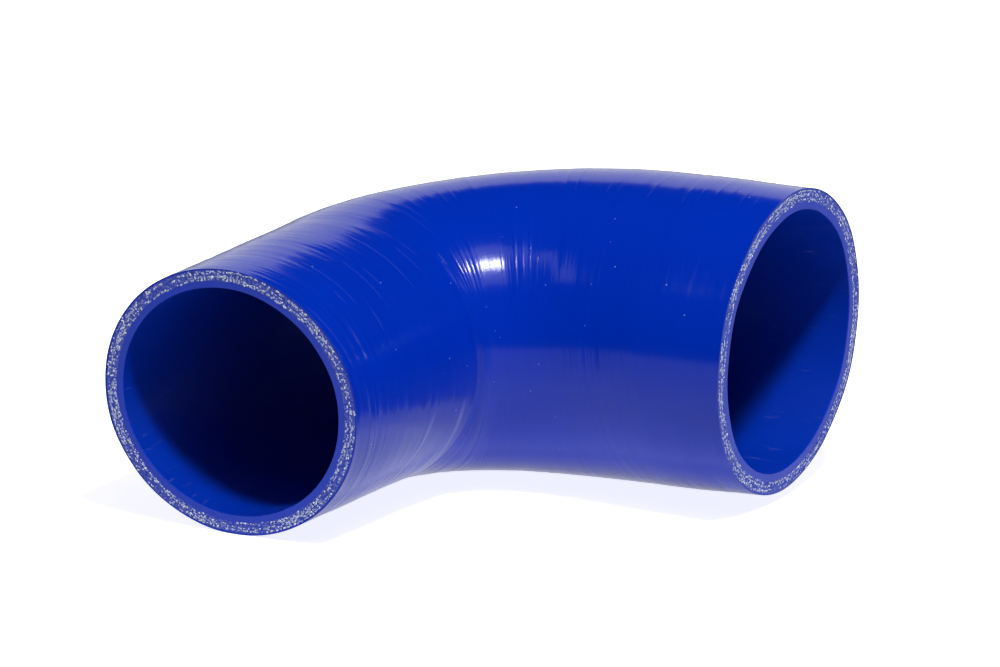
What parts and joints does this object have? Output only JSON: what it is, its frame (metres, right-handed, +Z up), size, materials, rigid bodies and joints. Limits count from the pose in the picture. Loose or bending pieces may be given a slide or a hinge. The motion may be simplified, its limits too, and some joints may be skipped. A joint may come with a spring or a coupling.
{
  "type": "silicone elbow hose",
  "caption": "Smooth bent silicone hose that joins a smaller pipe to a larger one round a bend of about a right angle, with plain cut ends.",
  "frame": {"origin": "middle of the underside of the bounding box: the hose lies on its side on a flat surface, as it comes to rest", "axes": "+Z up. The small leg runs along Y, with its cut towards -Y, and the large end opens towards +X: the bend is a right angle to within two degrees, each cut is up to seven degrees out of square to its leg, as the real ones are, and the hose lies tipped by about three degrees, with its small end lower"},
  "size_m": [0.1366, 0.1538, 0.0827],
  "materials": {
    "blue_silicone": "smooth, shiny cover with faint marks of the wrapping tape"
  },
  "bodies": {
    "root": {"elbow_hose": "blue_silicone"}
  },
  "joints": []
}
